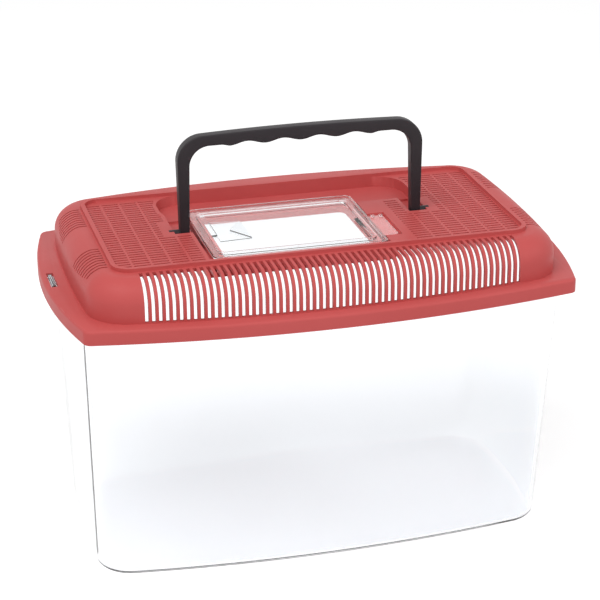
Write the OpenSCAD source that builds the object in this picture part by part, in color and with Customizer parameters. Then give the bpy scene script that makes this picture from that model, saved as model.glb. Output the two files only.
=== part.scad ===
// Carry tank for small animals: a clear tank with a vented lid that lifts off,
// a clear hatch hinged in the lid, and a handle that folds down into the lid.
// Millimetres. X runs along the tank, Y from the front (-) to the rear (+), Z up.
// The origin is the middle of the footprint, on the surface the tank stands on.
// Each wall of the lid and the tank is bowed: its outline is four long arcs
// joined by four round corners.

/* [Overall] */
// Length over the bowed ends of the lid
overall_l = 280; // [270:1:300]
// Width over the bowed long sides of the lid
overall_w = 175; // [170:1:190]
// Height to the top of the lid's rim, without the raised handle
overall_h = 175; // [172:1:200]
// How far the lip's long sides bow out over their corners
lip_side_bow = 13; // [9:0.5:16]
// How far the lip's ends bow out over their corners
lip_end_bow = 10; // [6:0.5:12]
// Radius of the lip's corners in plan
lip_corner_r = 5; // [4:0.5:8]

/* [Lid] */
// Wall of the lid
lid_wall = 2; // [1.6:0.1:2.6]
// Height of the lip's outer face
lip_h = 7.5; // [6:0.5:10]
// Radius of the lip's top edge
lip_edge_r = 1.8; // [1:0.1:1.9]
// Width of the flange between the lip and the dome, along the long sides
side_flange_w = 7.1; // [6:0.1:9]
// Width of the flange between the lip and the dome, at the ends
end_flange_w = 13; // [11:0.5:15]
// How far the dome's ends bow out over their corners
dome_end_bow = 3; // [1:0.5:5]
// Radius of the dome's corners in plan
dome_corner_r = 23; // [20:1:28]
// Radius of the dome's top edge
dome_edge_r = 12.8; // [9:0.1:14]
// Height of the dome above the underside of the flange, without the bead
dome_h = 23.5; // [20:0.5:30]
// Height of the bead round the grille
bead_h = 2; // [1:0.1:3]
// Width of the bead round the grille
bead_w = 2.4; // [1.6:0.1:3]
// Half length of the bead's centre line
bead_half_l = 110; // [108:0.5:112]
// Half width of the bead's centre line
bead_half_w = 54.5; // [53.5:0.5:56]
// Radius of the bead's corners
bead_corner_r = 9; // [6:0.5:14]

/* [Vents] */
// Number of slots in each long side
slot_count = 58; // [40:1:58]
// Distance from slot to slot
slot_pitch = 3.45; // [3.2:0.05:3.5]
// Width of each slot
slot_w = 1.85; // [1.4:0.05:2.2]
// Height of the solid band under the slots
slot_sill = 0.6; // [0.4:0.1:3]
// How far the front slots stop short of the bead's centre line
slot_bead_gap = 3; // [2:0.5:6]
// How far the rear slots reach in from the dome's outline
rear_slot_reach = 6.4; // [4:0.2:12]
// Number of slots in each group at the ends
end_slot_count = 9; // [5:1:9]
// Distance from slot to slot at the ends
end_slot_pitch = 3.3; // [3:0.1:3.4]
// Width of each slot at the ends
end_slot_w = 1.2; // [0.8:0.1:1.6]
// Distance from the middle of the lid to the nearest end slot
end_slot_start = 18; // [14:1:20]
// Height of the lowest end slot's foot over the flange
end_slot_foot = 13; // [11:0.5:18]
// How much higher the feet of the outermost end slots are
end_slot_rise = 3; // [0:0.5:5]
// Distance from rib to rib in the grille
rib_pitch = 10; // [9:0.5:12]
// Width of the ribs
rib_w = 1.2; // [1:0.1:2]
// Distance from row to row in the grille
row_pitch = 3.26; // [3:0.02:4]
// Number of rows in the grille
row_count = 30; // [20:1:30]
// Width of each grille slot
row_slot_w = 1.2; // [0.8:0.1:1.6]

/* [Handle] */
// Distance between the outer faces of the handle's feet
foot_span = 132.6; // [128:0.2:134]
// Width of each leg at the foot
foot_w = 4.9; // [4:0.1:6]
// Width of each leg under the grip
leg_w = 6.5; // [5:0.1:7]
// How far each leg leans out on its way up
leg_splay = 0.7; // [0:0.1:1]
// Thickness of the handle, front to rear
handle_t = 6.5; // [5:0.1:7]
// Height from the pivot to the top of the grip
handle_reach = 54.4; // [50:0.2:54.6]
// Depth of the grip at its bumps
grip_d = 7.6; // [6:0.1:9]
// Radius of the handle's outer corners
handle_outer_r = 14; // [10:0.5:16]
// Radius of the handle's inner corners
handle_inner_r = 11; // [7:0.5:12]
// Number of finger grooves
groove_count = 4; // [2:1:4]
// Distance from groove to groove
groove_pitch = 19.4; // [17:0.2:20]
// Depth of the finger grooves
groove_d = 1.8; // [1:0.1:2.4]
// How much the grip's top rises in its middle
grip_crown = 1; // [0.5:0.1:2]
// Diameter of the pivot pegs
peg_d = 4.5; // [3.5:0.1:4.8]
// How deep the pegs sit in the lid
peg_seat = 2.4; // [1.5:0.1:4]
// Distance of the pivot from the lid's middle, to the front
pivot_front = 2; // [0:0.5:4]
// Depth of the pivot under the crown
pivot_depth = 1.8; // [1.4:0.1:2.2]
// Radial clearance of the pegs and the hinge nubs
pin_clearance = 0.05; // [0.02:0.01:0.1]
// Room between the feet and the walls of the lid
foot_room = 3.4; // [1:0.1:4]
// Depth of the handle's recess under the crown
recess_depth = 5.8; // [5.6:0.1:8]
// Depth of the channels of the handle's feet under the crown
channel_depth = 7; // [6.8:0.1:10]

/* [Hatch] */
// Left end of the hatch
hatch_left = -57.5; // [-58:0.5:-54]
// Right end of the hatch, without its tab
hatch_right = 35.5; // [28:0.5:38]
// Front edge of the hatch
hatch_front = -48.5; // [-48.5:0.5:-44]
// Rear edge of the hatch
hatch_rear = 27; // [22:0.5:28]
// Wall of the hatch
hatch_wall = 1.5; // [1.2:0.1:2]
// Radius of the hatch's corners
hatch_corner_r = 4; // [3:0.5:6]
// Width of the hatch's margin at the front and rear
margin_w = 8.5; // [6:0.5:10]
// Width of the hatch's margin at its ends
end_margin_w = 5.5; // [4:0.5:8]
// How far the hatch's two lips stand over its margin
hatch_lip_h = 0.7; // [0.4:0.1:1.2]
// Width of the hatch's lips
hatch_lip_w = 1.5; // [1:0.1:2]
// Length of the latch tab, away from the hatch
tab_l = 8.5; // [6:0.5:10]
// Width of the latch tab
tab_w = 31; // [20:1:31]
// Distance from the hatch's front edge to the latch tab
tab_inset = 10; // [8:0.5:14]
// Diameter of the hinge nubs
nub_d = 3; // [2.4:0.1:3.2]
// Length of the hinge nubs
nub_l = 2.4; // [1.8:0.1:3]
// Thickness of the ear that carries the rear nub
ear_t = 2.5; // [2:0.1:3]
// Width of the ear that carries the rear nub
ear_w = 5; // [4.6:0.1:5.6]
// Depth of the hinge under the crown
hinge_depth = 5; // [4.5:0.1:5.2]
// Room round the hatch in the lid
hatch_gap = 0.7; // [0.3:0.1:1.5]
// Room behind the hatch at its hinge
hinge_gap = 2.8; // [2.6:0.1:3.6]
// Room between the hatch's wall and the collar at the hinge
hinge_room = 2.4; // [2:0.1:4]
// Depth of the collar round the opening, under the crown
collar_depth = 8.6; // [8:0.1:14]

/* [Tank] */
// Wall of the tank
tank_wall = 2.2; // [1.6:0.1:3]
// Length of the tank's foot over its bowed ends
foot_l = 252; // [230:1:256]
// Width of the tank's foot over its bowed sides
foot_wd = 128; // [110:1:140]
// Length of the tank under its rim
mouth_l = 260; // [240:1:262]
// Width of the tank under its rim
mouth_w = 158; // [140:1:160]
// How far the tank's long sides bow out over their corners
tank_side_bow = 10; // [4:0.5:12]
// How far the tank's ends bow out over their corners
tank_end_bow = 3; // [1:0.5:5]
// Radius of the tank's upright corners
tank_corner_r = 20; // [14:1:26]
// Radius of the edge between the floor and the walls
foot_edge_r = 4; // [3:0.5:6]
// Thickness of the tank's rim
rim_t = 2; // [1.5:0.1:3]
// Clearance between the tank's rim and the lid's lip
rim_clearance = 0.6; // [0.3:0.1:1]
// Length of the slot in each end of the lid
ear_slot_l = 20; // [14:1:26]
// Width of the slot in each end of the lid
ear_slot_w = 3.6; // [3:0.1:4.5]
// Distance from the lip's bowed edge to the middle of the slot
ear_slot_inset = 5; // [4.5:0.1:6]
// Thickness of the tongue that stands in the slot
tongue_t = 1.8; // [1.2:0.1:2.2]
// Clearance between the tongue and the ends of the slot
tongue_clearance = 1.5; // [0.5:0.1:3]
// Width of the flap under each end of the rim
flap_w = 34; // [20:1:40]
// Height of the flap under each end of the rim
flap_h = 12; // [8:0.5:16]

/* [Hidden] */

lid_red = [0.76, 0.29, 0.28];
handle_black = [0.17, 0.15, 0.16];
clear_tint = [0.88, 0.94, 0.97, 0.45];

// Steps along each arc of a lofted outline, and round the edge of its foot
side_steps = 24;
end_steps = 10;
corner_steps = 8;
edge_steps = 6;
long_arc_fn = 720;
round_fn = 64;
// The lid's corners stand out by this much, so that they cross the sides that they join
seam = 0.05;
// How far the middle of a pillow runs into its sides
core_overlap = 2;
// The round edges of the lid end this much short of level, so that the crown cuts them
edge_lift = 0.25;
// How far cutters run past the faces that they cut, and added blocks into what carries them
past = 1;

// Heights
crown_z = overall_h - bead_h;
flange_bottom_z = crown_z - dome_h;
flange_top_z = flange_bottom_z + lid_wall;
lip_bottom_z = flange_top_z - lip_h;
recess_z = crown_z - recess_depth;
channel_z = crown_z - channel_depth;
pivot_z = crown_z - pivot_depth;
hinge_z = crown_z - hinge_depth;

// Outlines: [half length, half width, end bow, side bow, corner radius]
lip = [overall_l/2, overall_w/2, lip_end_bow, lip_side_bow, lip_corner_r];
dome = [overall_l/2 - end_flange_w, overall_w/2 - side_flange_w, dome_end_bow, lip_side_bow,
        dome_corner_r];
rim_inset = lid_wall + rim_clearance;
rim = [lip[0] - rim_inset, lip[1] - rim_inset, lip_end_bow, lip_side_bow, lip_corner_r - rim_inset];
foot = [foot_l/2, foot_wd/2, tank_end_bow, tank_side_bow, tank_corner_r];
mouth = [mouth_l/2, mouth_w/2, tank_end_bow, tank_side_bow, tank_corner_r];

// ---- outlines and sections -------------------------------------------------------------

// Radius of the arc with a given rise over a half chord
function arc_r(half_chord, rise) = (half_chord*half_chord + rise*rise) / (2*rise);

// Where a circle round p crosses one round q, on the left of the way from p to q
function crossing(p, rp, q, rq) =
    let (way = q - p,
         d = norm(way),
         along = (rp*rp - rq*rq + d*d) / (2*d),
         across = sqrt(rp*rp - along*along))
    p + along*way/d + across*[-way.y, way.x]/d;

// Where the arcs of an outline meet in its corner at +X +Y:
// [end radius, end centre, side radius, side centre, corner centre, end angle, side angle]
function arcs(o) =
    let (end_r = arc_r(o[1] - o[3], o[2]),
         side_r = arc_r(o[0] - o[2], o[3]),
         end_c = [o[0] - end_r, 0],
         side_c = [0, o[1] - side_r],
         c = crossing(end_c, end_r - o[4], side_c, side_r - o[4]))
    [end_r, end_c, side_r, side_c, c,
     atan2(c.y - end_c.y, c.x - end_c.x), atan2(c.y - side_c.y, c.x - side_c.x)];

// Steps along an arc, each with its place and the way that it faces
function arc_stations(centre, r, from, to, steps) =
    [for (i = [0:steps - 1])
        let (a = from + (to - from)*i/steps, facing = [cos(a), sin(a)])
        [centre + r*facing, facing]];

// Steps round a bowed outline with round corners, counter-clockwise from its right end
function stations(o) =
    let (k = arcs(o), c = k[4], end_a = k[5], side_a = k[6])
    concat(
        arc_stations(k[1], k[0], -end_a, end_a, end_steps),
        arc_stations(c, o[4], end_a, side_a, corner_steps),
        arc_stations(k[3], k[2], side_a, 180 - side_a, side_steps),
        arc_stations([-c.x, c.y], o[4], 180 - side_a, 180 - end_a, corner_steps),
        arc_stations(-k[1], k[0], 180 - end_a, 180 + end_a, end_steps),
        arc_stations(-c, o[4], 180 + end_a, 180 + side_a, corner_steps),
        arc_stations(-k[3], k[2], 180 + side_a, 360 - side_a, side_steps),
        arc_stations([c.x, -c.y], o[4], 360 - side_a, 360 - end_a, corner_steps));

// An outline moved in by a distance, as points
function moved_in(o, inset) = [for (s = stations(o)) s[0] - inset*s[1]];

// A ring of points at height z, a share of the way from one outline to another
function ring(o0, o1, share, inset, z) =
    let (s0 = stations(o0), s1 = stations(o1))
    [for (i = [0:len(s0) - 1])
        let (p = s0[i][0]*(1 - share) + s1[i][0]*share - inset*s0[i][1])
        [p.x, p.y, z]];

// A vessel lofted through a list of rings, with flat ends
module vessel(rings) {
    count = len(rings[0]);
    last = (len(rings) - 1)*count;
    walls = [for (k = [0:len(rings) - 2], j = [0:count - 1])
        let (k1 = k + 1, j1 = (j + 1) % count)
        [k*count + j, k1*count + j, k1*count + j1, k*count + j1]];
    polyhedron([for (r = rings) each r],
               concat(walls, [[for (j = [0:count - 1]) j], [for (j = [0:count - 1]) last + count - 1 - j]]));
}

module both_ends() {
    children();
    mirror([1, 0, 0]) children();
}

module both_sides() {
    children();
    mirror([0, 1, 0]) children();
}

// The area inside an outline's four arcs once they move in by a distance
module inside_arcs(o, inset) {
    k = arcs(o);
    intersection() {
        translate(k[3]) circle(r = k[2] - inset, $fn = long_arc_fn);
        translate(-k[3]) circle(r = k[2] - inset, $fn = long_arc_fn);
        translate(k[1]) circle(r = k[0] - inset, $fn = long_arc_fn);
        translate(-k[1]) circle(r = k[0] - inset, $fn = long_arc_fn);
    }
}

module slab(z0, z1) {
    translate([0, 0, z0]) linear_extrude(z1 - z0) children();
}

// A rectangle between two corners, with round corners
module rounded(low, high, r) {
    translate([low.x + r, low.y]) square([high.x - low.x - 2*r, high.y - low.y]);
    translate([low.x, low.y + r]) square([high.x - low.x, high.y - low.y - 2*r]);
    for (x = [low.x + r, high.x - r], y = [low.y + r, high.y - r])
        translate([x, y]) circle(r = r, $fn = round_fn);
}

module area(low, high) {
    translate(low) square(high - low);
}

// A round bar along X from one place to another
module bar_x(x0, x1, y, z, d) {
    translate([x0, y, z]) rotate([0, 90, 0]) cylinder(d = d, h = x1 - x0, $fn = round_fn);
}

// A round bar along Y from one place to another
module bar_y(y0, y1, x, z, d) {
    translate([x, y1, z]) rotate([90, 0, 0]) cylinder(d = d, h = y1 - y0, $fn = round_fn);
}

// ---- tank ------------------------------------------------------------------------------

rim_bottom_z = flange_bottom_z - rim_t;
tongue_x = lip[0] - ear_slot_inset;
tongue_l = ear_slot_l - 2*tongue_clearance;

// A ring of the tank's wall: its outline goes evenly from the foot to the mouth
function wall_ring(z, inset) = ring(foot, mouth, z/rim_bottom_z, inset, z);

tank_rings = concat(
    [for (i = [0:edge_steps])
        let (a = 90*i/edge_steps)
        wall_ring(foot_edge_r*(1 - cos(a)), foot_edge_r*(1 - sin(a)))],
    [wall_ring(rim_bottom_z, 0)],
    [ring(rim, rim, 0, 0, rim_bottom_z)],
    [ring(rim, rim, 0, 0, flange_bottom_z)],
    [wall_ring(flange_bottom_z, tank_wall)],
    [for (i = [0:edge_steps])
        let (a = 90 - 90*i/edge_steps, r = foot_edge_r - tank_wall)
        wall_ring(foot_edge_r - r*cos(a), foot_edge_r - r*sin(a))]);

module tank() {
    color(clear_tint) {
        vessel(tank_rings);
        both_ends() {
            slab(flange_bottom_z - past, flange_top_z)
                area([tongue_x - tongue_t/2, -tongue_l/2], [tongue_x + tongue_t/2, tongue_l/2]);
            slab(flange_bottom_z - flap_h, flange_bottom_z - past)
                intersection() {
                    difference() {
                        polygon(moved_in(rim, 0));
                        polygon(moved_in(rim, rim_t));
                    }
                    area([0, -flap_w/2], [lip[0], flap_w/2]);
                }
        }
    }
}

// ---- lid -------------------------------------------------------------------------------

foot_out = foot_span/2;
channel_in = foot_out - foot_w - foot_room/2;
channel_out = foot_out + foot_room;
channel_front = -(pivot_front + handle_t/2 + foot_room/2);
socket_end = channel_out + peg_seat;
recess_half_l = channel_out + lid_wall/2;
recess_rear = bead_half_w - bead_w/2;
recess_corner_r = handle_outer_r + past;

well_left = hatch_left - hinge_gap;
well_right = hatch_right + hatch_gap;
well_front = hatch_front - hatch_gap;
well_rear = hatch_rear + hatch_gap;
hinge_x = hatch_left + hatch_wall/2;
tab_y = [hatch_front + tab_inset, hatch_front + tab_inset + tab_w];
tab_z = crown_z - hatch_wall - lid_wall/4;
ear_top_z = hinge_z + nub_d/2 + lid_wall;

// Outside of the collar that the hatch closes over
collar_low = [hatch_left + hatch_wall + hinge_room, hatch_front + hatch_wall + hatch_gap];
collar_high = [hatch_right - hatch_wall - hatch_gap, hatch_rear - hatch_wall - hatch_gap];
collar_top_z = crown_z - hatch_wall - lid_wall/2 - 0.2;

// Section of a pillow's side. x = 0 is the line of the corners' centres, r is the
// outline, and the top edge is round.
module side_section(x0, r, edge_r, z0, z1) {
    edge = [r - edge_r, z1 - edge_r + edge_lift];
    area([x0, z0], [edge.x, z1]);
    if (edge_r > 0) {
        area([x0, z0], [r, edge.y]);
        intersection() {
            translate(edge) circle(r = edge_r, $fn = round_fn);
            area([edge.x - past, edge.y - past], [r, z1]);
        }
    }
}

// A solid inside an outline moved in by inset, with upright sides and a round top edge:
// four long arcs and four round corners about a core
module pillow(o, inset, edge_r, z0, z1) {
    k = arcs(o);
    r = o[4] - inset;
    slab(z0, z1) inside_arcs(o, o[4] - core_overlap);
    both_sides()
        translate(k[3])
            rotate_extrude(start = k[6], angle = 180 - 2*k[6], $fn = long_arc_fn)
                translate([k[2] - o[4], 0]) side_section(-2*core_overlap, r, edge_r, z0, z1);
    both_ends() {
        translate(k[1])
            rotate_extrude(start = -k[5], angle = 2*k[5], $fn = long_arc_fn)
                translate([k[0] - o[4], 0]) side_section(-2*core_overlap, r, edge_r, z0, z1);
        both_sides()
            translate(k[4])
                rotate_extrude($fn = round_fn) side_section(0, r + seam, edge_r, z0, z1);
    }
}

module bead_area() {
    out = [bead_half_l + bead_w/2, bead_half_w + bead_w/2];
    in = [bead_half_l - bead_w/2, bead_half_w - bead_w/2];
    difference() {
        rounded(-out, out, bead_corner_r + bead_w/2);
        rounded(-in, in, bead_corner_r - bead_w/2);
    }
}

// The handle's recess behind the hatch, and beside it on the right
module recess_area(grow) {
    rounded([-recess_half_l - grow, hatch_rear - 3*hatch_corner_r - grow],
            [recess_half_l + grow, recess_rear + (grow > 0 ? bead_w/2 : 0)], recess_corner_r + grow);
}

// The channels that the legs lie in and the feet turn in
module channel_area(grow) {
    both_ends()
        area([channel_in - grow, channel_front - grow], [channel_out + grow, hatch_rear + past]);
}

module well_area(grow) {
    area([well_left - grow, well_front - grow], [well_right + grow, well_rear]);
}

module tab_area(grow) {
    area([hatch_right, tab_y[0] - hatch_gap - grow],
         [hatch_right + tab_l + 2*hatch_gap + grow, tab_y[1] + hatch_gap + 2*past + grow]);
}

module opening_area(grow) {
    inside = lid_wall - grow;
    rounded(collar_low + [inside, inside], collar_high - [inside, inside], hatch_corner_r + grow/2);
}

// Blocks that carry the holes of the pegs
module socket_area() {
    both_ends()
        area([channel_out, channel_front - lid_wall], [socket_end + lid_wall, -channel_front]);
}

// Where the crown stays solid
module plain_area() {
    recess_area(lid_wall);
    channel_area(lid_wall);
    well_area(lid_wall);
    tab_area(lid_wall);
    both_ends()
        area([channel_in, channel_front - lid_wall], [socket_end + 2*lid_wall, -2*channel_front]);
}

// Rows of slots between the ribs
module grille_area() {
    half_l = bead_half_l - bead_w/2;
    columns = floor((half_l - channel_in)/rib_pitch) + 2;
    difference() {
        both_ends()
            for (column = [0:columns - 1], row = [0:row_count - 1])
                translate([bead_half_l - (column + 1)*rib_pitch + rib_w/2,
                           (row - (row_count - 1)/2)*row_pitch - row_slot_w/2])
                    square([rib_pitch - rib_w - (column == 0 ? bead_w/2 : 0), row_slot_w]);
        plain_area();
    }
}

// Where the dome's bowed side is at x
function dome_side(x) = let (k = arcs(dome)) k[3].y + sqrt(k[2]*k[2] - x*x);

// A slot over a long edge of the dome, from the flange up to slot_end
module side_slot(x, slot_end) {
    translate([x - slot_w/2, slot_end, flange_top_z + slot_sill])
        cube([slot_w, dome[1] + past - slot_end, dome_h]);
}

// The front slots reach the crown, and the rear ones stay on the dome's round edge
module side_slots() {
    for (i = [0:slot_count - 1]) {
        x = (i - (slot_count - 1)/2)*slot_pitch;
        mirror([0, 1, 0]) side_slot(x, bead_half_w + slot_bead_gap);
        side_slot(x, dome_side(x) - rear_slot_reach);
    }
}

// Slots over an end's edge, whose feet rise towards the corners
module end_slots() {
    slot_end = bead_half_l + bead_w;
    for (i = [0:end_slot_count - 1])
        translate([slot_end, end_slot_start + i*end_slot_pitch - end_slot_w/2,
                   flange_top_z + end_slot_foot + end_slot_rise*pow(i/(end_slot_count - 1), 2)])
            cube([dome[0] + past - slot_end, end_slot_w, dome_h]);
}

// The lip, the flange, the dome with its vents, and the crown
module vented_shell() {
    difference() {
        union() {
            difference() {
                union() {
                    pillow(lip, 0, lip_edge_r, lip_bottom_z, flange_top_z);
                    pillow(dome, 0, dome_edge_r, flange_top_z - lid_wall/2, crown_z);
                }
                pillow(lip, lid_wall, 0, lip_bottom_z - past, flange_bottom_z);
                pillow(dome, lid_wall, dome_edge_r - lid_wall, flange_bottom_z - past, crown_z - lid_wall);
            }
            slab(crown_z - lid_wall/2, overall_h) bead_area();
        }
        side_slots();
        both_ends() both_sides() end_slots();
        slab(crown_z - lid_wall - past, crown_z + past) grille_area();
    }
}

// The floors and walls of the recess, the channels, the hatch's well and its collar
module wells() {
    slab(recess_z - lid_wall, crown_z) recess_area(lid_wall);
    slab(channel_z - lid_wall, crown_z) {
        channel_area(lid_wall);
        well_area(lid_wall);
        socket_area();
    }
    slab(tab_z - hatch_gap - lid_wall, crown_z) tab_area(lid_wall);
    slab(crown_z - collar_depth, crown_z - lid_wall) opening_area(lid_wall);
}

// The room inside the wells
module well_hollows() {
    slab(recess_z, overall_h) recess_area(0);
    slab(channel_z, overall_h) channel_area(0);
    difference() {
        slab(channel_z, overall_h) well_area(0);
        slab(channel_z - past, collar_top_z) opening_area(lid_wall);
    }
    slab(tab_z - hatch_gap, overall_h) tab_area(0);
    slab(channel_z - lid_wall - past, overall_h) opening_area(0);
}

// Holes for the tank's tongues, the handle's pegs and the hatch's nubs
module lid_holes() {
    both_ends() {
        slab(flange_bottom_z - past, flange_top_z + past)
            area([tongue_x - ear_slot_w/2, -ear_slot_l/2], [tongue_x + ear_slot_w/2, ear_slot_l/2]);
        bar_x(channel_out - past, socket_end + pin_clearance, -pivot_front, pivot_z,
              peg_d + 2*pin_clearance);
    }
    bar_y(well_front - lid_wall - past, well_rear + ear_t + past, hinge_x, hinge_z, nub_d + 2*pin_clearance);
}

module lid() {
    color(lid_red)
        difference() {
            union() {
                difference() {
                    union() {
                        vented_shell();
                        wells();
                    }
                    well_hollows();
                }
                slab(recess_z - lid_wall/2, ear_top_z)
                    area([hinge_x - ear_w/2, well_rear], [hinge_x + ear_w/2, well_rear + ear_t]);
            }
            lid_holes();
        }
}

// ---- hatch -----------------------------------------------------------------------------

module hatch() {
    low = [hatch_left, hatch_front];
    high = [hatch_right, hatch_rear];
    wall = [hatch_wall, hatch_wall];
    lip_w = [hatch_lip_w, hatch_lip_w];
    window_low = low + [end_margin_w, margin_w];
    window_high = high - [end_margin_w, margin_w];
    plate_top = crown_z - lid_wall/4;
    window_top = plate_top - lid_wall/4;
    lip_top = plate_top + hatch_lip_h;
    color(clear_tint) {
        slab(plate_top - hatch_wall, plate_top)
            difference() {
                rounded(low, high, hatch_corner_r);
                rounded(window_low, window_high, hatch_corner_r);
            }
        slab(channel_z + hatch_gap/2, lip_top)
            difference() {
                rounded(low, high, hatch_corner_r);
                rounded(low + wall, high - wall, hatch_corner_r - hatch_wall);
            }
        slab(window_top - hatch_wall, lip_top)
            difference() {
                rounded(window_low - lip_w, window_high + lip_w, hatch_corner_r);
                rounded(window_low, window_high, hatch_corner_r - hatch_lip_w);
            }
        slab(window_top - hatch_wall, window_top)
            rounded(window_low - lip_w/2, window_high + lip_w/2, hatch_corner_r);
        slab(tab_z, tab_z + hatch_wall)
            rounded([hatch_right - 2*hatch_corner_r, tab_y[0]], [hatch_right + tab_l, tab_y[1]],
                    hatch_corner_r - past);
        bar_y(hatch_front - nub_l, hatch_front + hatch_corner_r, hinge_x, hinge_z, nub_d);
        bar_y(hatch_rear - hatch_corner_r, hatch_rear + nub_l, hinge_x, hinge_z, nub_d);
    }
}

// ---- handle ----------------------------------------------------------------------------

leg_out = foot_out + leg_splay;
leg_in = leg_out - leg_w;
grip_mid_z = handle_reach - grip_d + groove_d/2;
groove_r = arc_r(groove_pitch/4, groove_d/2);

// Front outline of the handle, without the hollow between its legs
module handle_outside() {
    corner = [leg_out - handle_outer_r, handle_reach - grip_crown - handle_outer_r];
    crown_r = arc_r(corner.x, grip_crown);
    polygon([[-foot_out, 0], [foot_out, 0], [leg_out, corner.y], [-leg_out, corner.y]]);
    both_ends() translate(corner) circle(r = handle_outer_r, $fn = round_fn);
    area([-corner.x, corner.y - past], [corner.x, handle_reach - grip_crown]);
    intersection() {
        translate([0, handle_reach - crown_r]) circle(r = crown_r, $fn = long_arc_fn);
        area([-corner.x, corner.y], [corner.x, handle_reach]);
    }
}

// Centres of the finger grooves, and of the bumps beside them
function groove_x(i) = (i - (groove_count - 1)/2)*groove_pitch;
function bump_x(i) = (i - groove_count/2)*groove_pitch;

// The hollow between the legs. Its top is a wave of arcs that flow into each other.
module handle_hollow() {
    foot_in = foot_out - foot_w;
    corner = [leg_in - handle_inner_r, grip_mid_z - handle_inner_r];
    polygon([[-foot_in, 0], [foot_in, 0], [leg_in, corner.y], [-leg_in, corner.y]]);
    area([-foot_in, -handle_t], [foot_in, past]);
    both_ends() translate(corner) circle(r = handle_inner_r, $fn = round_fn);
    area([-corner.x, corner.y - past], [corner.x, grip_mid_z - groove_d]);
    difference() {
        area([-corner.x, grip_mid_z - 2*groove_d], [corner.x, grip_mid_z]);
        for (i = [0:groove_count])
            translate([bump_x(i), grip_mid_z - groove_d/2 + groove_r])
                circle(r = groove_r, $fn = long_arc_fn);
    }
    for (i = [0:groove_count - 1])
        intersection() {
            translate([groove_x(i), grip_mid_z + groove_d/2 - groove_r])
                circle(r = groove_r, $fn = long_arc_fn);
            area([-leg_in, grip_mid_z - groove_d/2], [leg_in, handle_reach]);
        }
}

module handle() {
    color(handle_black) {
        translate([0, handle_t/2 - pivot_front, pivot_z])
            rotate([90, 0, 0])
                linear_extrude(handle_t)
                    difference() {
                        handle_outside();
                        handle_hollow();
                    }
        both_ends() {
            bar_x(foot_out - foot_w, foot_out, -pivot_front, pivot_z, handle_t);
            bar_x(foot_out - past, socket_end, -pivot_front, pivot_z, peg_d);
        }
    }
}

tank();
lid();
hatch();
handle();
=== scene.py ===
"""Looks for a plastic pet keeper: a clear tank, a vented lid, a clear hatch and a folding handle.

Metres, in the CAD frame: X runs along the tank, -Y faces the front, Z is up, and the origin
is the middle of the footprint on the floor. Sizes written in millimetres are multiplied by MM.
"""

import math

import bmesh
import bpy
import numpy as np
from mathutils import Matrix, Vector


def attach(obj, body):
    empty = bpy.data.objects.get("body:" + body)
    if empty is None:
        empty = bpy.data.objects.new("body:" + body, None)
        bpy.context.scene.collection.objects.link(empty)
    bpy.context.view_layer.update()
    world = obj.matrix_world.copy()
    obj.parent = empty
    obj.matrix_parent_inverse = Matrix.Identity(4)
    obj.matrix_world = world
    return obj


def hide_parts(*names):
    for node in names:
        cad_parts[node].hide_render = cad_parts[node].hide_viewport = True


MM = 0.001
PI = math.pi

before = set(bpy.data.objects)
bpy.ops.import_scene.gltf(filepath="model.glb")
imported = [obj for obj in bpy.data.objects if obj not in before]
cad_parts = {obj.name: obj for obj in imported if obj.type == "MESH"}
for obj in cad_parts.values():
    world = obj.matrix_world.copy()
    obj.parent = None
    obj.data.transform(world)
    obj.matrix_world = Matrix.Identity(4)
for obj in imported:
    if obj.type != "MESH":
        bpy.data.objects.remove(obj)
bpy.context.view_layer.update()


# ---- shader maths ------------------------------------------------------------------------

class Sock:
    """A socket whose operators add Math nodes, so that a shader reads as an expression."""

    def __init__(self, tree, socket):
        self.tree = tree
        self.socket = socket

    def math(self, operation, *values):
        node = self.tree.nodes.new("ShaderNodeMath")
        node.operation = operation
        for slot, value in zip(node.inputs, values):
            if isinstance(value, Sock):
                self.tree.links.new(value.socket, slot)
            else:
                slot.default_value = value
        return Sock(self.tree, node.outputs[0])

    def __add__(self, other):
        return self.math("ADD", self, other)

    def __sub__(self, other):
        return self.math("SUBTRACT", self, other)

    def __rsub__(self, other):
        return self.math("SUBTRACT", other, self)

    def __mul__(self, other):
        return self.math("MULTIPLY", self, other)

    def __truediv__(self, other):
        return self.math("DIVIDE", self, other)

    __radd__ = __add__
    __rmul__ = __mul__

    def clamp(self):
        return self.math("MAXIMUM", self.math("MINIMUM", self, 1.0), 0.0)

    def band(self, low, high):
        """0 below low and 1 above high, with a straight slope between them."""
        return ((self - low) / (high - low)).clamp()


class Finish:
    """A material, and the methods that build its nodes."""

    def __init__(self, name):
        self.material = bpy.data.materials.new(name)
        self.material.use_nodes = True
        self.tree = self.material.node_tree
        self.tree.nodes.clear()

    def node(self, kind, settings=None, inputs=None, output=0):
        """One node of any type: its settings first, then the values or links of its sockets."""
        node = self.tree.nodes.new(kind)
        for key, value in (settings or {}).items():
            setattr(node, key, value)
        for key, value in (inputs or {}).items():
            if isinstance(value, Sock):
                self.tree.links.new(value.socket, node.inputs[key])
            else:
                node.inputs[key].default_value = value
        return Sock(self.tree, node.outputs[output])

    def place(self):
        return self.node("ShaderNodeTexCoord", output="Object")

    def noise(self, scale, detail):
        return self.node("ShaderNodeTexNoise", inputs={
            "Vector": self.place(), "Scale": scale, "Detail": detail, "Roughness": 0.5})

    def mix_colour(self, factor, a, b):
        """A Mix node on colours, whose two colour sockets are its sixth and seventh."""
        return self.node("ShaderNodeMix", {"data_type": "RGBA"},
                         {"Factor": factor, 6: a, 7: b}, output=2)

    def bump(self, height, strength, distance):
        return self.node("ShaderNodeBump", inputs={
            "Height": height, "Strength": strength, "Distance": distance})

    def surface(self, shader):
        out = self.tree.nodes.new("ShaderNodeOutputMaterial")
        self.tree.links.new(shader.socket, out.inputs["Surface"])
        return self.material


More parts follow.
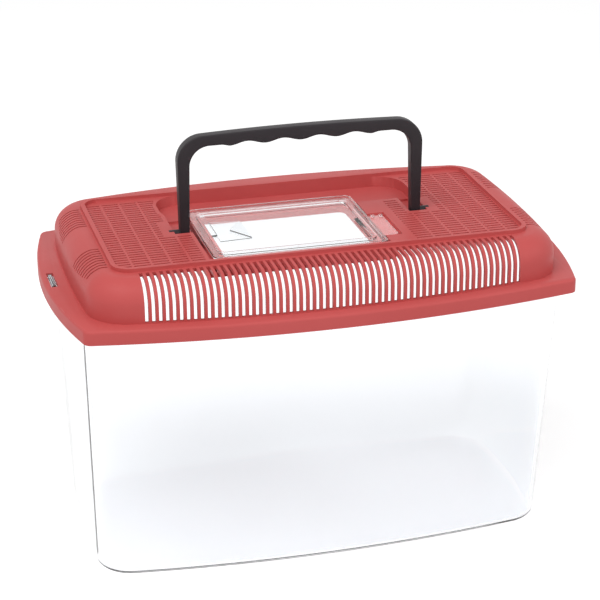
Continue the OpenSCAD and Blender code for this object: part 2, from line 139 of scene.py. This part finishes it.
DRIFT_SCALE = 9.0            # noise scales, in waves per metre: the slow drift of the colour,
GRAIN_SCALE = 2200.0         # the fine grain of the surface,
FLOW_SCALE = 60.0            # the marks that the flowing plastic leaves,
CLEAR_FLOW_SCALE = 35.0      # and the same marks in clear plastic
GRAIN_DEPTH = 0.2*MM
CLEAR_FLOW_DEPTH = 0.4*MM


def moulded(name, colour, deep, roughness, shine, grain):
    """Injection-moulded plastic: a slow drift of colour, fine grain and a slightly uneven gloss."""
    m = Finish(name)
    drift = m.noise(DRIFT_SCALE, 3.0)
    speck = m.noise(GRAIN_SCALE, 2.0)
    flow = m.noise(FLOW_SCALE, 4.0)
    return m.surface(m.node("ShaderNodeBsdfPrincipled", inputs={
        "Base Color": m.mix_colour(drift.band(0.35, 0.7), colour, deep),
        "Roughness": (flow - 0.5) * 0.12 + (speck - 0.5) * 0.06 + roughness,
        "IOR": 1.5,
        "Specular IOR Level": shine,
        "Normal": m.bump(speck * 0.7 + flow * 0.3, grain, GRAIN_DEPTH)}))


def clear(name, tint, shade, roughness, edge):
    """Clear polystyrene: glass-like, with faint flow marks. Lamps shine through it, dimmed by shade."""
    m = Finish(name)
    flow = m.noise(CLEAR_FLOW_SCALE, 3.0)
    glass = m.node("ShaderNodeBsdfPrincipled", inputs={
        "Base Color": tint, "Roughness": roughness, "IOR": 1.49, "Transmission Weight": 1.0,
        "Normal": m.bump(flow, edge, CLEAR_FLOW_DEPTH)})
    open_to_lamps = m.node("ShaderNodeBsdfTransparent", inputs={"Color": shade})
    is_shadow = m.node("ShaderNodeLightPath", output="Is Shadow Ray")
    return m.surface(m.node("ShaderNodeMixShader", inputs={
        "Fac": is_shadow, 1: glass, 2: open_to_lamps}))


lid_red = moulded("lid_red_plastic", colour=(0.56, 0.1, 0.098, 1), deep=(0.51, 0.08, 0.076, 1),
                  roughness=0.42, shine=0.1, grain=0.12)
handle_black = moulded("handle_black_plastic", colour=(0.029, 0.023, 0.027, 1),
                       deep=(0.022, 0.018, 0.021, 1), roughness=0.45, shine=0.25, grain=0.2)
tank_clear = clear("tank_clear_plastic", tint=(0.956, 0.968, 0.985, 1), shade=(0.86, 0.865, 0.87, 1),
                   roughness=0.02, edge=0.05)
hatch_clear = clear("hatch_clear_plastic", tint=(0.97, 0.98, 0.985, 1), shade=(0.94, 0.945, 0.95, 1),
                    roughness=0.03, edge=0.08)


# ---- meshes ------------------------------------------------------------------------------

def mesh_object(name, points, faces, material, body, slot):
    """Makes a piece from arrays of points and faces, and lets it ride on its body."""
    mesh = bpy.data.meshes.new(name)
    mesh.from_pydata(np.asarray(points).tolist(), [], [list(map(int, f)) for f in faces])
    mesh.validate()
    return finished(name, mesh, material, body)


SMOOTH_UNDER = math.radians(35)          # edges that turn less than this are shaded smooth
BEVEL_OVER = math.radians(40)            # and edges that turn more than this are rounded
FLAT_UNDER = math.radians(0.5)           # faces that meet at less than this are made one
MERGE_WITHIN = 0.002*MM


def finished(name, mesh, material, body):
    """Shades a mesh and makes it a piece that rides on its body."""
    mesh.materials.clear()
    mesh.materials.append(material)
    mesh.shade_smooth()
    mesh.set_sharp_from_angle(angle=SMOOTH_UNDER)
    piece = bpy.data.objects.new(name, mesh)
    bpy.context.scene.collection.objects.link(piece)
    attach(piece, body)
    return piece


def grid_faces(rows, columns, wrap):
    """Quads of a grid of points stored row by row. wrap joins the last column to the first."""
    i, j = np.meshgrid(np.arange(rows - 1), np.arange(columns if wrap else columns - 1), indexing="ij")
    k = (j + 1) % columns
    return np.stack([i*columns + j, i*columns + k, (i + 1)*columns + k, (i + 1)*columns + j],
                    axis=-1).reshape(-1, 4)


def softened(node, name, material, width, segments):
    """A copy of a CAD node whose doubles are merged and flat faces joined, with its edges rounded."""
    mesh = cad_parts[node].data.copy()
    mesh.name = name
    bm = bmesh.new()
    bm.from_mesh(mesh)
    bmesh.ops.remove_doubles(bm, verts=bm.verts, dist=MERGE_WITHIN)
    bmesh.ops.dissolve_limit(bm, angle_limit=FLAT_UNDER, verts=bm.verts, edges=bm.edges)
    bm.to_mesh(mesh)
    bm.free()
    piece = finished(name, mesh, material, node)
    bevel = piece.modifiers.new("rounded_edges", "BEVEL")
    bevel.width = width
    bevel.segments = segments
    bevel.limit_method = "ANGLE"
    bevel.angle_limit = BEVEL_OVER
    bevel.harden_normals = True
    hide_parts(node)


# ---- tank --------------------------------------------------------------------------------

def arc_radius(half_chord, rise):
    """The radius of an arc from half its chord and its rise: (chord squared + rise squared) / 2 rise."""
    return (half_chord**2 + rise**2) / (2*rise)


def bowed_outline(half_l, half_w, end_bow, side_bow, corner_r, steps):
    """Points and outward directions round four long arcs joined by four round corners.

    Each long arc's radius comes from its chord and its rise. A corner's centre is where the
    arcs moved in by the corner's radius cross. The quarter at +X +Y is mirrored to the rest.
    """
    end_r = arc_radius(half_w - side_bow, end_bow)
    side_r = arc_radius(half_l - end_bow, side_bow)
    end_c = np.array([half_l - end_r, 0.0])
    side_c = np.array([0.0, half_w - side_r])
    way = side_c - end_c
    d = np.hypot(*way)
    p, q = end_r - corner_r, side_r - corner_r
    along = (p*p - q*q + d*d) / (2*d)
    across = math.sqrt(p*p - along*along)
    c = end_c + along*way/d + across*np.array([-way[1], way[0]])/d
    c = np.abs(c)
    end_a = math.atan2(c[1] - end_c[1], c[0] - end_c[0])
    side_a = math.atan2(c[1] - side_c[1], c[0] - side_c[0])

    def arc(centre, r, a0, a1, n):
        a = np.linspace(a0, a1, n, endpoint=False)
        facing = np.stack([np.cos(a), np.sin(a)], 1)
        return centre + r*facing, facing

    side_n, end_n, corner_n = steps
    parts = [arc(end_c, end_r, -end_a, end_a, end_n),
             arc(c, corner_r, end_a, side_a, corner_n),
             arc(side_c, side_r, side_a, PI - side_a, side_n),
             arc(c*[-1, 1], corner_r, PI - side_a, PI - end_a, corner_n),
             arc(-end_c, end_r, PI - end_a, PI + end_a, end_n),
             arc(-c, corner_r, PI + end_a, PI + side_a, corner_n),
             arc(-side_c, side_r, PI + side_a, 2*PI - side_a, side_n),
             arc(c*[1, -1], corner_r, 2*PI - side_a, 2*PI - end_a, corner_n)]
    return np.concatenate([p[0] for p in parts]), np.concatenate([p[1] for p in parts])


STEPS = (96, 48, 20)         # points on a side, on an end and on a corner of an outline

# Outlines: half length, half width, bow of an end, bow of a side, corner radius
LIP = (140*MM, 87.5*MM, 10*MM, 13*MM, 5*MM)
RIM_INSET = 2.6*MM
RIM = (LIP[0] - RIM_INSET, LIP[1] - RIM_INSET, LIP[2], LIP[3], LIP[4] - RIM_INSET)
FOOT = (126*MM, 64*MM, 3*MM, 10*MM, 20*MM)
MOUTH = (130*MM, 79*MM, 3*MM, 10*MM, 20*MM)
RIM_TOP = 149.5*MM
RIM_T = 2*MM
TANK_WALL = 2.2*MM
FOOT_R = 4*MM
RIM_EDGE = 0.4*MM
RIM_FILLET = 1.2*MM
FOOT_RINGS, WALL_RINGS, FILLET_RINGS = 9, 12, 5


def at_height(points, z):
    return np.column_stack([points, np.full(len(points), z)])


def wall_ring(z, inset):
    """A ring of the wall: the outline goes evenly from the foot to the mouth, moved in by inset."""
    foot, facing = bowed_outline(*FOOT, STEPS)
    mouth, _ = bowed_outline(*MOUTH, STEPS)
    share = z/(RIM_TOP - RIM_T)
    return at_height(foot*(1 - share) + mouth*share - inset*facing, z)


def rim_ring(z, inset):
    rim, facing = bowed_outline(*RIM, STEPS)
    return at_height(rim - inset*facing, z)


def edge_arc(n, r):
    """Steps down a quarter circle: how far in from the wall and how high over the floor each lies."""
    a = np.linspace(0, PI/2, n)
    return zip(FOOT_R - r*np.sin(a), FOOT_R - r*np.cos(a))


def tank_mesh():
    """One closed shell: up the outside, over the rim, and down the inside to the floor."""
    under = RIM_TOP - RIM_T
    soft = RIM_EDGE
    rings = [wall_ring(z, inset) for inset, z in edge_arc(FOOT_RINGS, FOOT_R)]
    rings += [wall_ring(z, 0) for z in np.linspace(FOOT_R, under - RIM_FILLET, WALL_RINGS)[1:]]
    rings += [wall_ring(under - RIM_FILLET*(1 - math.sin(a)), -RIM_FILLET*(1 - math.cos(a)))
              for a in np.linspace(0, PI/2, FILLET_RINGS)[1:]]
    rings += [rim_ring(under, soft), rim_ring(under + soft*0.3, soft*0.3), rim_ring(under + soft, 0),
              rim_ring(RIM_TOP - soft, 0), rim_ring(RIM_TOP - soft*0.3, soft*0.3), rim_ring(RIM_TOP, soft)]
    rings += [wall_ring(RIM_TOP, TANK_WALL - soft), wall_ring(RIM_TOP - soft*0.3, TANK_WALL - soft*0.3)]
    rings += [wall_ring(z, TANK_WALL) for z in np.linspace(RIM_TOP - soft, FOOT_R, WALL_RINGS)]
    rings += [wall_ring(z, inset) for inset, z in list(edge_arc(FOOT_RINGS, FOOT_R - TANK_WALL))[::-1]][1:]
    return stacked(rings)


def stacked(rings):
    """A closed shape from rings of points, each joined to the next, with both ends capped."""
    count = len(rings[0])
    last = (len(rings) - 1)*count
    faces = grid_faces(len(rings), count, True).tolist()
    faces += [list(range(count))[::-1], list(range(last, last + count))]
    return np.concatenate(rings), faces


def joined(parts):
    """Several sets of points and faces as one."""
    points, faces, start = [], [], 0
    for p, f in parts:
        points.append(np.asarray(p))
        faces += [[start + int(k) for k in face] for face in f]
        start += len(p)
    return np.concatenate(points), faces


def block(low, high, r):
    """A box whose edges are cut back by r: the hull of 24 points, three at each corner.

    Each of the three lies on two of the corner's faces moved in by r and on the third as it is.
    """
    low, high = np.array(low), np.array(high)
    signs = np.array(np.meshgrid([0, 1], [0, 1], [0, 1], indexing="ij")).reshape(3, -1).T
    corners = low + signs*(high - low)
    inward = (0.5 - signs)*2*r
    points = np.concatenate([corners + inward*(1 - np.eye(3)[k]) for k in range(3)])
    bm = bmesh.new()
    verts = [bm.verts.new(p) for p in points]
    bmesh.ops.convex_hull(bm, input=verts)
    bmesh.ops.dissolve_limit(bm, angle_limit=FLAT_UNDER, verts=bm.verts, edges=bm.edges)
    bm.verts.index_update()
    out = np.array([v.co for v in bm.verts])
    faces = [[v.index for v in f.verts] for f in bm.faces]
    bm.free()
    return out, faces


def plate(outline, low, high):
    """A flat plate: an outline, counter-clockwise from above, carried from one height to another."""
    return stacked([at_height(np.array(outline), low), at_height(np.array(outline), high)])


ENDS = (-1, 1)
TONGUE_T, TONGUE_W, TONGUE_TOP = 1.8*MM, 17*MM, 151.5*MM
TONGUE_X = LIP[0] - 5*MM
TONGUE_FOOT = RIM_TOP - 0.5*MM
TONGUE_EDGE = 0.3*MM
FLAP_W, FLAP_FOOT, FLAP_T = 34*MM, 137.5*MM, 2*MM


def flap_mesh(side):
    """The flap under an end of the rim: the rim's outline within its width, carried down."""
    rim, facing = bowed_outline(*RIM, STEPS)
    keep = (np.abs(rim[:, 1]) < FLAP_W/2) & (rim[:, 0] > 0)
    order = np.argsort(rim[keep][:, 1])
    out, face = rim[keep][order], facing[keep][order]
    inn = out - FLAP_T*face
    top = RIM_TOP - RIM_T*0.5
    section = np.stack([at_height(out, top), at_height(out, FLAP_FOOT), at_height(inn, FLAP_FOOT),
                        at_height(inn, top)], axis=1)
    points, faces = stacked(list(section))
    if side > 0:
        faces = [f[::-1] for f in faces]
    return points*[side, 1, 1], faces


def tongue_mesh(side):
    """The upright tongue on an end of the rim, which stands in the lid's end slot."""
    return block([side*TONGUE_X - TONGUE_T/2, -TONGUE_W/2, TONGUE_FOOT],
                 [side*TONGUE_X + TONGUE_T/2, TONGUE_W/2, TONGUE_TOP], TONGUE_EDGE)


tank = mesh_object("tank_moulding", *tank_mesh(), tank_clear, "tank", "clear_plastic")
mesh_object("rim_tongues_and_flaps",
            *joined([tongue_mesh(s) for s in ENDS] + [flap_mesh(s) for s in ENDS]),
            tank_clear, "tank", "clear_plastic")
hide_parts("tank")


# ---- handle ------------------------------------------------------------------------------

PIVOT = np.array([0, -2*MM, 171.2*MM])
REACH = 54.4*MM
FOOT_OUT, FOOT_IN = 66.3*MM, 61.4*MM
LEG_OUT, LEG_IN = 67*MM, 60.5*MM
OUTER_R, INNER_R = 14*MM, 11*MM
CROWN = 1*MM
GRIP_MID = 47.7*MM          # middle height of the finger wave over the pivot
WAVE, WAVE_PITCH, WAVES = 1.8*MM, 19.4*MM, 4
HANDLE_T = 6.5*MM
HANDLE_EDGE = 0.8*MM
PEG_R, PEG_END, PEG_CHAMFER = 2.25*MM, 72.1*MM, 0.5*MM
CORNER_STEPS, GRIP_STEPS, EDGE_STEPS, TURN_STEPS = 24, 110, 7, 48


def handle_edges():
    """Outer and inner front outlines of the right half, step by step from the foot to the middle.

    The leg is straight, the corner is two arcs, and the grip has a slightly crowned top and a
    cosine wave of finger grooves below.
    """
    corner_o = np.array([LEG_OUT - OUTER_R, REACH - CROWN - OUTER_R])
    corner_i = np.array([LEG_IN - INNER_R, GRIP_MID - INNER_R])
    s = np.linspace(0, 1, CORNER_STEPS)[:, None]
    leg_o = (1 - s)*[FOOT_OUT, 0] + s*[LEG_OUT, corner_o[1]]
    leg_i = (1 - s)*[FOOT_IN, 0] + s*[LEG_IN, corner_i[1]]
    a = np.linspace(0, PI/2, CORNER_STEPS)[1:, None]
    turn = np.hstack([np.cos(a), np.sin(a)])
    u = np.linspace(0, 1, GRIP_STEPS)[1:]
    crown_r = arc_radius(corner_o[0], CROWN)
    xo, xi = corner_o[0]*(1 - u), corner_i[0]*(1 - u)
    top = np.stack([xo, REACH - crown_r + np.sqrt(crown_r**2 - xo**2)], 1)
    fade = np.clip(((WAVES + 0.5)/2*WAVE_PITCH - xi)/(WAVE_PITCH/4), 0, 1)
    low = np.stack([xi, GRIP_MID - WAVE/2*np.cos(2*PI*xi/WAVE_PITCH)*fade], 1)
    return (np.concatenate([leg_o, corner_o + OUTER_R*turn, top]),
            np.concatenate([leg_i, corner_i + INNER_R*turn, low]))


def bail_mesh():
    """The bail: a rounded rectangle spanned between the outer and the inner outline at each step."""
    outer, inner = handle_edges()
    outer = np.concatenate([outer, (outer*[-1, 1])[::-1][1:]])
    inner = np.concatenate([inner, (inner*[-1, 1])[::-1][1:]])
    middle, half = (outer + inner)/2, (outer - inner)/2
    reach = np.hypot(half[:, 0], half[:, 1])
    along = half/reach[:, None]
    a = np.linspace(0, PI/2, EDGE_STEPS)
    spin = np.concatenate([a + k*PI/2 for k in range(4)])
    sign_a = np.repeat([1, -1, -1, 1], EDGE_STEPS)
    sign_b = np.repeat([1, 1, -1, -1], EDGE_STEPS)
    across = sign_a*(reach[:, None] - HANDLE_EDGE) + HANDLE_EDGE*np.cos(spin)
    depth = sign_b*(HANDLE_T/2 - HANDLE_EDGE) + HANDLE_EDGE*np.sin(spin)
    x = middle[:, :1] + along[:, :1]*across
    z = middle[:, 1:] + along[:, 1:]*across
    y = np.broadcast_to(depth, x.shape)
    return stacked(list(np.stack([x, y, z], -1) + PIVOT))


def turned(profile, side):
    """A profile of [x, radius] turned about the pivot's axis."""
    profile = np.asarray(profile)
    a = np.linspace(0, 2*PI, TURN_STEPS, endpoint=False)
    x = np.broadcast_to(side*profile[:, :1], (len(profile), TURN_STEPS))
    points = np.stack([x, profile[:, 1:]*np.cos(a), profile[:, 1:]*np.sin(a)], -1) + PIVOT
    points, faces = stacked(list(points))
    if side > 0:
        faces = [f[::-1] for f in faces]
    return points, faces


def foot_profile():
    """Foot and peg: a disc with round edges, then the peg with a chamfered end."""
    r, e = HANDLE_T/2, HANDLE_EDGE
    a = np.linspace(0, PI/2, EDGE_STEPS)
    inner = np.stack([FOOT_IN + e - e*np.cos(a), r - e + e*np.sin(a)], 1)
    outer = np.stack([FOOT_OUT - (r - PEG_R)*(1 - np.sin(a)), PEG_R + (r - PEG_R)*np.cos(a)], 1)
    return np.concatenate([inner, outer, [[PEG_END - PEG_CHAMFER, PEG_R], [PEG_END, PEG_R - PEG_CHAMFER]]])


handle = mesh_object("carrying_handle",
                     *joined([bail_mesh()] + [turned(foot_profile(), s) for s in (1, -1)]),
                     handle_black, "handle", "handle_plastic")
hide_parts("handle")


# ---- lid and hatch -----------------------------------------------------------------------

LID_EDGE = 0.25*MM
HATCH_EDGE = 0.3*MM

softened("lid", "vented_lid", lid_red, LID_EDGE, 2)
softened("hatch", "feeding_hatch", hatch_clear, HATCH_EDGE, 3)

# Low forms on the hatch: outlines on its pane, and how high each starts and ends over the pane
PANE_TOP = 172*MM
SUNK = 0.1*MM
RIB = np.array([(-52.2, -14), (-48.7, -14), (-48.7, 15.8), (-52.2, 15.8)])*MM
PAD = np.array([(-48.9, -22.6), (-31.8, -21.5), (-32.4, 4.9), (-48.9, 7)])*MM
FACET = np.array([(-32.4, 4.9), (-40.5, -8.1), (-31.8, -21.5)])*MM
RIB_TOP, PAD_TOP, FACET_FOOT, FACET_TOP = 0.8*MM, 0.25*MM, 0.15*MM, 0.7*MM

# Two small stops at the back of the hatch's tab
TAB_TOP = 172.5*MM
STOP_LEFTS = (37.4*MM, 41.8*MM)
STOP_L, STOP_H, STOP_EDGE = 1.8*MM, 0.9*MM, 0.2*MM
STOP_FRONT, STOP_BACK = -9.6*MM, -7.9*MM


def on_pane(outline, low, high):
    return plate(outline, PANE_TOP + low, PANE_TOP + high)


def tab_stop(left):
    return block([left, STOP_FRONT, TAB_TOP - SUNK], [left + STOP_L, STOP_BACK, TAB_TOP + STOP_H], STOP_EDGE)


mesh_object("hatch_rib_and_stops",
            *joined([on_pane(RIB, -SUNK, RIB_TOP), on_pane(PAD, -SUNK, PAD_TOP),
                     on_pane(FACET, FACET_FOOT, FACET_TOP)] + [tab_stop(x) for x in STOP_LEFTS]),
            hatch_clear, "hatch", "hatch_plastic")


# ---- floor, light and camera -------------------------------------------------------------

def floor_white(name):
    """A pale floor that keeps shadows. Seen straight, or in gloss or through clear plastic, it
    also shines a little, so that it comes out white."""
    m = Finish(name)
    seen = m.node("ShaderNodeLightPath", output="Is Camera Ray")
    gloss = m.node("ShaderNodeLightPath", output="Is Glossy Ray")
    through = m.node("ShaderNodeLightPath", output="Is Transmission Ray")
    shine = m.node("ShaderNodeEmission", inputs={
        "Color": (1, 1, 1, 1),
        "Strength": (seen + gloss + through).clamp() * FLOOR_SHINE})
    matt = m.node("ShaderNodeBsdfDiffuse", inputs={"Color": (0.8, 0.8, 0.8, 1)})
    return m.surface(m.node("ShaderNodeAddShader", inputs={0: matt, 1: shine}))


FLOOR_SHINE = 0.46
FLOOR_HALF = 3.0
FLOOR_Z = -0.2*MM
floor = bpy.data.meshes.new("floor")
floor.from_pydata([(x*FLOOR_HALF, y*FLOOR_HALF, FLOOR_Z) for x, y in ((-1, -1), (1, -1), (1, 1), (-1, 1))],
                  [], [(0, 1, 2, 3)])
floor_piece = bpy.data.objects.new("floor", floor)
bpy.context.scene.collection.objects.link(floor_piece)
floor.materials.append(floor_white("floor_white"))


def studio_world(strength, seen_strength):
    """An even white studio: brighter where it is seen directly, in gloss or through clear plastic."""
    world = bpy.data.worlds.new("studio")
    world.use_nodes = True
    tree = world.node_tree
    tree.nodes.clear()
    path = tree.nodes.new("ShaderNodeLightPath")
    seen = (Sock(tree, path.outputs["Is Camera Ray"]) + Sock(tree, path.outputs["Is Glossy Ray"])
            + Sock(tree, path.outputs["Is Transmission Ray"])).clamp()
    light = tree.nodes.new("ShaderNodeBackground")
    light.inputs["Color"].default_value = (1, 1, 1, 1)
    tree.links.new((seen * (seen_strength - strength) + strength).socket, light.inputs["Strength"])
    out = tree.nodes.new("ShaderNodeOutputWorld")
    tree.links.new(light.outputs[0], out.inputs["Surface"])
    bpy.context.scene.world = world


def soft_lamp(name, place, size, watts):
    """A rectangular lamp that shines towards the middle of the object."""
    lamp = bpy.data.lights.new(name, "AREA")
    lamp.shape = "RECTANGLE"
    lamp.size, lamp.size_y = size
    lamp.energy = watts
    piece = bpy.data.objects.new(name, lamp)
    bpy.context.scene.collection.objects.link(piece)
    way = LAMP_AIM - Vector(place)
    piece.location = place
    piece.rotation_euler = way.to_track_quat("-Z", "Y").to_euler()


LAMP_AIM = Vector((0, 0, 0.1))
studio_world(strength=0.5, seen_strength=1.0)
soft_lamp("key", place=(-0.7, -0.6, 1.5), size=(1.4, 1.0), watts=16)
soft_lamp("fill", place=(1.2, -0.9, 0.9), size=(1.2, 1.0), watts=6)

# The camera that fits the photograph: direction, roll, distance, focal length and centre in pixels
AZIMUTH, ELEVATION, ROLL = map(math.radians, (-14.978, 23.727, -0.379))
DISTANCE, AIM_Z = 1117.28*MM, 93.22*MM
FOCAL_PX, CENTRE_PX, FRAME_PX = 2020.37, (300.68, 353.13), 600
SENSOR = 36.0                # the sensor's width, in the millimetres that a lens is given in
CLIP_START = 0.05

away = Vector((math.sin(AZIMUTH)*math.cos(ELEVATION), -math.cos(AZIMUTH)*math.cos(ELEVATION),
               math.sin(ELEVATION)))
right = Vector((math.cos(AZIMUTH), math.sin(AZIMUTH), 0))
up = away.cross(right)
turned_right = math.cos(ROLL)*right + math.sin(ROLL)*up
turned_up = -math.sin(ROLL)*right + math.cos(ROLL)*up
lens = bpy.data.cameras.new("camera")
lens.sensor_width = SENSOR
lens.lens = FOCAL_PX*SENSOR/FRAME_PX
lens.shift_x = (FRAME_PX/2 - CENTRE_PX[0])/FRAME_PX
lens.shift_y = (CENTRE_PX[1] - FRAME_PX/2)/FRAME_PX
lens.clip_start = CLIP_START
camera = bpy.data.objects.new("camera", lens)
bpy.context.scene.collection.objects.link(camera)
turn = Matrix((turned_right, turned_up, away)).transposed().to_4x4()
camera.matrix_world = Matrix.Translation(away*DISTANCE + Vector((0, 0, AIM_Z))) @ turn
bpy.context.scene.camera = camera
bpy.context.scene.view_settings.view_transform = "Standard"

bpy.context.view_layer.update()
